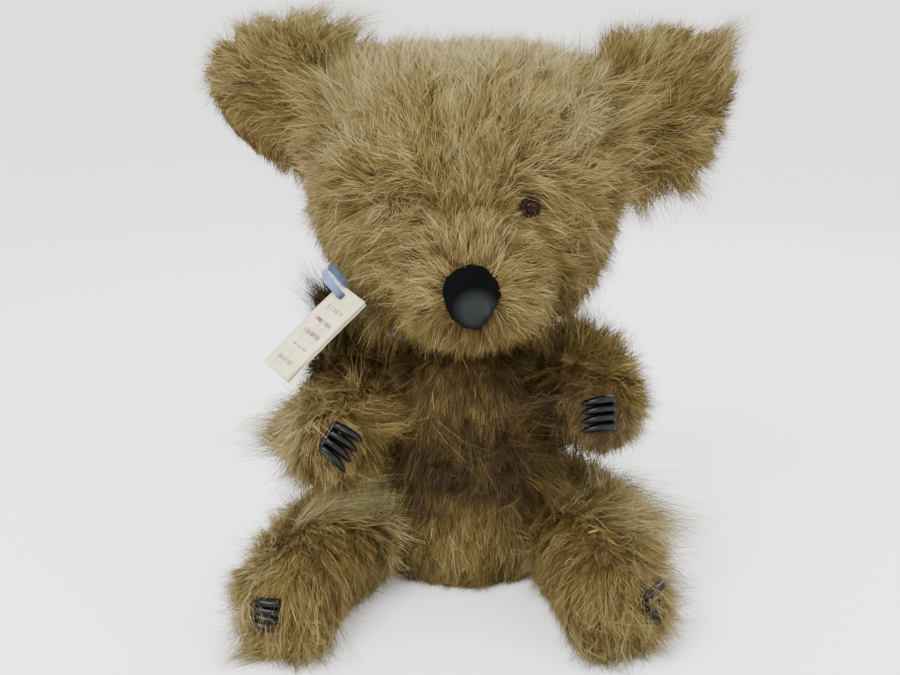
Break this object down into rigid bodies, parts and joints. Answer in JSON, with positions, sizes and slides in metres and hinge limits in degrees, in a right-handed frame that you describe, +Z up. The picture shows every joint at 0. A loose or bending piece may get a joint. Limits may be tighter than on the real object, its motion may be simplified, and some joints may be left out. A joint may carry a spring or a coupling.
{
  "type": "jointed toy koala",
  "caption": "Sitting toy koala in fur hide with a disc-jointed head, arms and legs, leather nose, glass eyes, claw combs and a swing tag.",
  "frame": {"origin": "centre of the flat seat under the torso", "axes": "+Z up from the seat; the face looks along -Y; +X is the koala's own left"},
  "size_m": [0.2691, 0.1937, 0.2963],
  "materials": {
    "fur_hide": "dyed fur hide, straight pile about 15 mm long",
    "ear_hide": "fur hide, double thickness, long grey-gold pile",
    "stuffing": "packed wood wool and cotton",
    "nose_leather": "black leather, semi-matt, fine creases",
    "eye_glass": "amber-brown glass, polished",
    "eye_shank": "black moulded plastic",
    "claw_plastic": "black moulded plastic, glossy",
    "hardboard": "pressed hardboard disc, smooth one side",
    "steel": "plated steel",
    "tag_card": "cream card, matt, creased",
    "ribbon_satin": "steel-blue satin ribbon"
  },
  "bodies": {
    "torso": {"torso_skin": "fur_hide", "torso_stuffing": "stuffing", "torso_washers": "steel", "neck_disc_torso": "hardboard", "shoulder_left_disc_torso": "hardboard", "shoulder_right_disc_torso": "hardboard", "hip_left_disc_torso": "hardboard", "hip_right_disc_torso": "hardboard", "neck_split_pin": "steel", "shoulder_left_split_pin": "steel", "shoulder_right_split_pin": "steel", "hip_left_split_pin": "steel", "hip_right_split_pin": "steel", "tag_front_leaf": "tag_card", "tag_back_leaf": "tag_card", "tag_ribbon": "ribbon_satin"},
    "head": {"head_skin": "fur_hide", "head_stuffing": "stuffing", "neck_disc_outer": "hardboard", "neck_washer": "steel", "nose_leather": "nose_leather", "nose_pad": "stuffing", "ear_left": "ear_hide", "eye_glass_left": "eye_glass", "eye_shank_left": "eye_shank", "eye_washer_left": "steel", "ear_right": "ear_hide", "eye_glass_right": "eye_glass", "eye_shank_right": "eye_shank", "eye_washer_right": "steel"},
    "arm_left": {"arm_left_skin": "fur_hide", "arm_left_stuffing": "stuffing", "arm_left_claws": "claw_plastic", "shoulder_left_disc_outer": "hardboard", "shoulder_left_washer": "steel"},
    "leg_left": {"leg_left_skin": "fur_hide", "leg_left_stuffing": "stuffing", "leg_left_claws": "claw_plastic", "hip_left_disc_outer": "hardboard", "hip_left_washer": "steel"},
    "arm_right": {"arm_right_skin": "fur_hide", "arm_right_stuffing": "stuffing", "arm_right_claws": "claw_plastic", "shoulder_right_disc_outer": "hardboard", "shoulder_right_washer": "steel"},
    "leg_right": {"leg_right_skin": "fur_hide", "leg_right_stuffing": "stuffing", "leg_right_claws": "claw_plastic", "hip_right_disc_outer": "hardboard", "hip_right_washer": "steel"}
  },
  "joints": [
    {"name": "neck_turn", "type": "hinge", "parent": "torso", "child": "head", "pos_m": [0, 0, 0.1384], "axis": [0, 0, 1], "range_deg": [-18, 100]},
    {"name": "shoulder_left", "type": "hinge", "parent": "torso", "child": "arm_left", "pos_m": [0.0404, -0.008, 0.11], "axis": [1, 0, 0], "range_deg": [-45, 38]},
    {"name": "hip_left", "type": "hinge", "parent": "torso", "child": "leg_left", "pos_m": [0.0404, -0.006, 0.026], "axis": [1, 0, 0], "range_deg": [-20, 110]},
    {"name": "shoulder_right", "type": "hinge", "parent": "torso", "child": "arm_right", "pos_m": [-0.0404, -0.008, 0.11], "axis": [1, 0, 0], "range_deg": [-26, 23]},
    {"name": "hip_right", "type": "hinge", "parent": "torso", "child": "leg_right", "pos_m": [-0.0404, -0.006, 0.026], "axis": [1, 0, 0], "range_deg": [-20, 110]}
  ]
}
